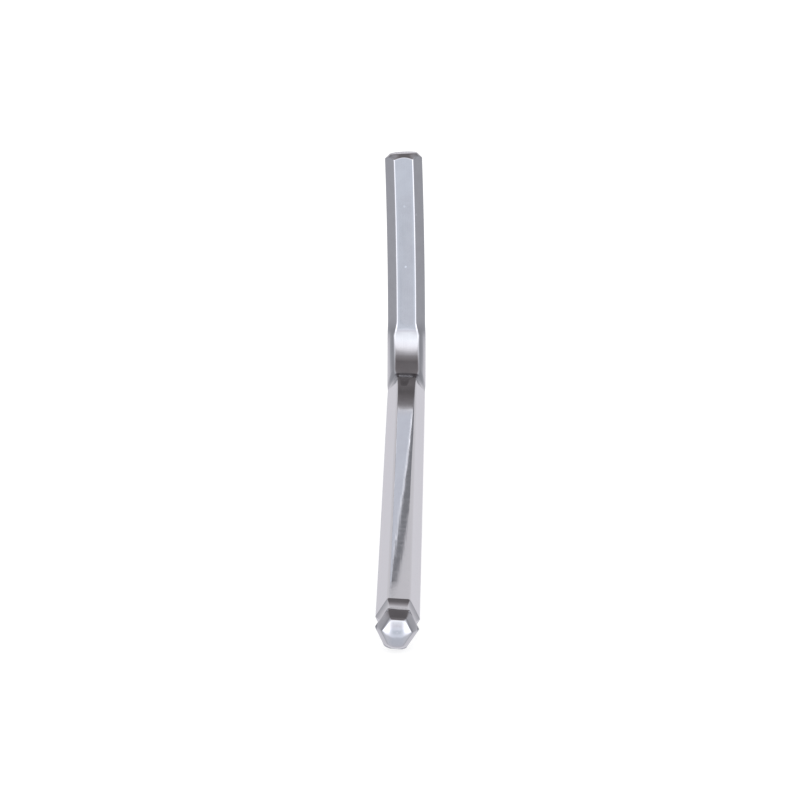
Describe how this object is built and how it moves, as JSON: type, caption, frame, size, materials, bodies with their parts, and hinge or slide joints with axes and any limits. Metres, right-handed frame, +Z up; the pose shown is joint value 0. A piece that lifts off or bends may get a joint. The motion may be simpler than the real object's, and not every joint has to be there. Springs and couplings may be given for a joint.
{
  "type": "hex key",
  "caption": "L-shaped hex key bent from plated steel bar, with a chamfered short arm and a ball end on the long arm.",
  "frame": {"origin": "middle of the footprint, on the plane that the long arm rests on", "axes": "+Z up along the short arm; the long arm runs along Y with its ball end at -Y; +X across the bar"},
  "size_m": [0.0034, 0.126, 0.0228],
  "materials": {
    "plated_steel": "bright nickel-like plating over drawn hexagonal bar, satin along the flats, with fine specks"
  },
  "bodies": {
    "root": {"hex_key": "plated_steel"}
  },
  "joints": []
}
